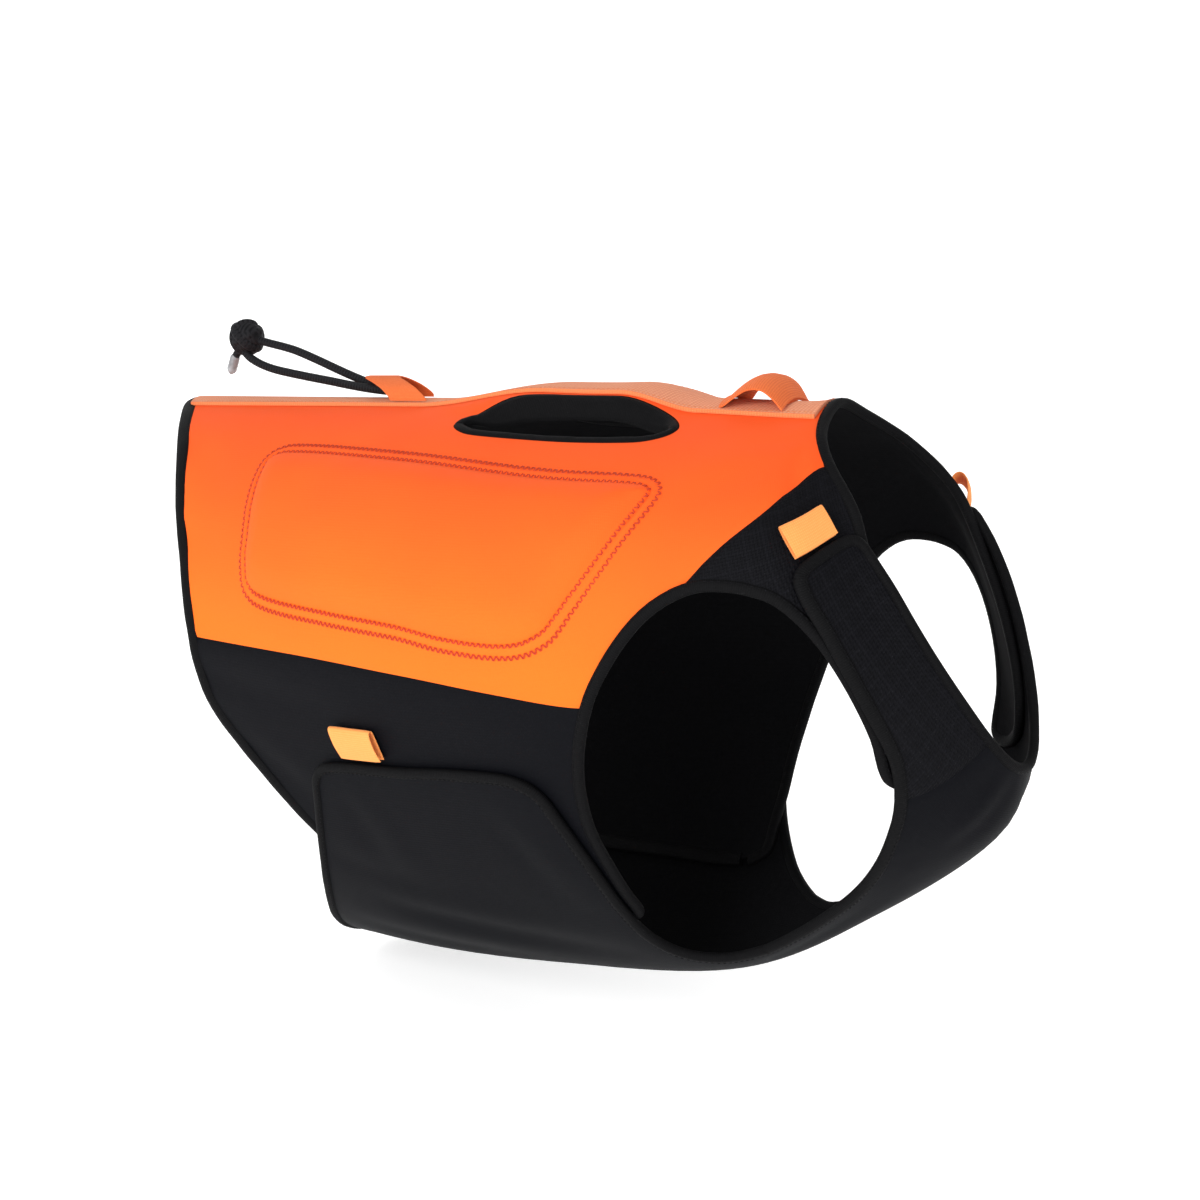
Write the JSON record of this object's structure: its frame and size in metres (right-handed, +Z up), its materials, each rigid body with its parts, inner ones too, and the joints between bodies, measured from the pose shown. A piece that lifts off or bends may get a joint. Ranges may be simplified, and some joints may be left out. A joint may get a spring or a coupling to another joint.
{
  "type": "dog protective vest",
  "caption": "Neoprene dog vest, filled out as worn, with a saddle piece, a chest and belly wrap with shoulder straps, padded flanks, a grab handle and an elastic cord.",
  "frame": {"origin": "inside of the back at the middle of the spine, where the vest rests on the dog", "axes": "+X forward to the neck, +Y to the dog's left, +Z up"},
  "size_m": [0.5675, 0.2634, 0.3662],
  "materials": {
    "neoprene_orange": "matte knit-faced neoprene",
    "neoprene_black": "matte knit-faced neoprene",
    "ripstop_black": "matte ripstop weave",
    "binding": "matte elastic tape",
    "webbing": "soft brushed webbing",
    "tape": "woven tape with a slight sheen",
    "cord": "braided elastic cord",
    "clear_tip": "clear heat-shrunk tip"
  },
  "bodies": {
    "root": {"back_panel_left": "neoprene_orange", "back_panel_right": "neoprene_orange", "flank_pad_left": "neoprene_orange", "flank_pad_right": "neoprene_orange", "side_panel_left": "neoprene_black", "side_panel_right": "neoprene_black", "chest_panel": "neoprene_black", "shoulder_panel_left": "ripstop_black", "shoulder_panel_right": "ripstop_black", "strap_left": "ripstop_black", "strap_right": "ripstop_black", "hem_binding": "binding", "neck_binding": "binding", "belly_binding": "binding", "collar_binding": "binding", "armhole_binding_left": "binding", "armhole_binding_right": "binding", "leg_binding_left": "binding", "leg_binding_right": "binding", "slit_binding_left": "binding", "slit_binding_right": "binding", "spine_webbing": "webbing", "leash_loop": "tape", "rear_loop": "tape", "shoulder_tab_left": "tape", "shoulder_tab_right": "tape", "belly_tab_left": "tape", "belly_tab_right": "tape", "cord_upper": "cord", "cord_lower": "cord", "cord_knot": "cord", "cord_tip": "clear_tip"}
  },
  "joints": []
}
